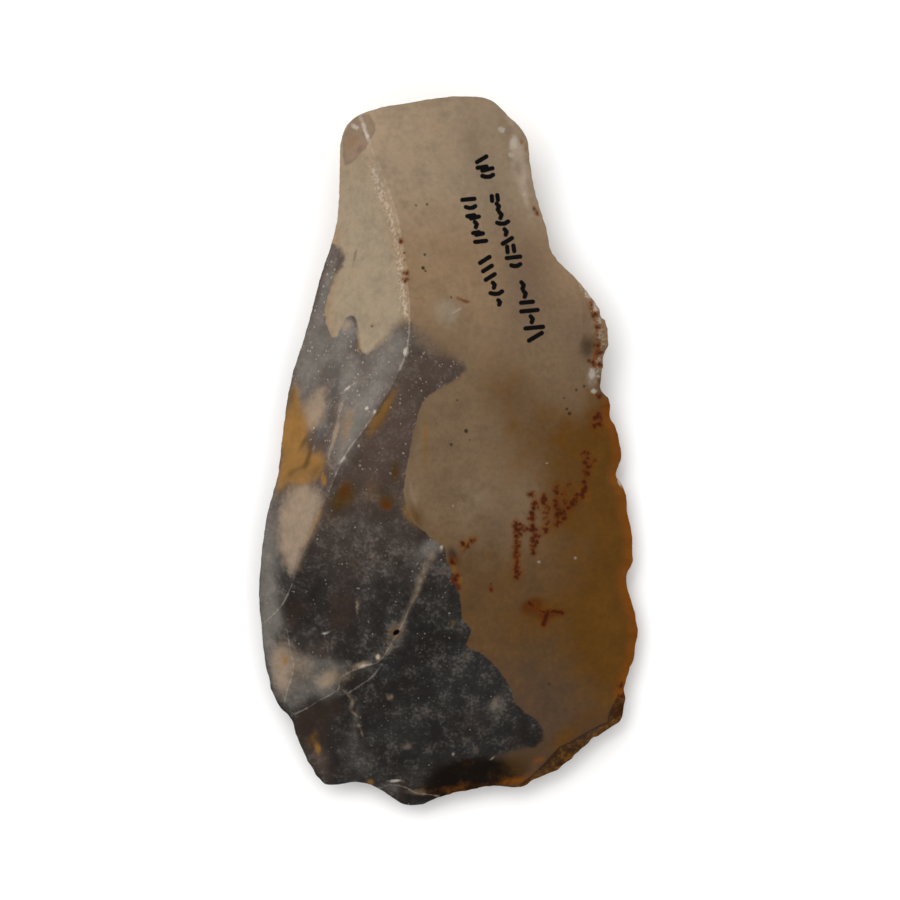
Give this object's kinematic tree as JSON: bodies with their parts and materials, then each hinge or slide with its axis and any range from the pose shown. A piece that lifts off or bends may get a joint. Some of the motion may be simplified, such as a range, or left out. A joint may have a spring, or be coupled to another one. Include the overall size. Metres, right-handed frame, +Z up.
{
  "type": "flint side scraper",
  "caption": "Broad flake of patinated flint with a keeled upper face, a narrow butt and a scalloped working edge along one side.",
  "frame": {"origin": "on the ground under the middle of the stone's bounding box", "axes": "+Z up from the face the stone lies on, +Y along its length towards the narrow butt, +X across it towards the scalloped working edge"},
  "size_m": [0.0516, 0.096, 0.015],
  "materials": {
    "patinated_flint": "knapped flint with a smooth dull waxy patina: warm tan over the large face, mottled dark grey, which looks faintly blue beside the tan, over the keel and the lower left, amber along the thin edge"
  },
  "bodies": {
    "root": {"flint_scraper": "patinated_flint"}
  },
  "joints": []
}
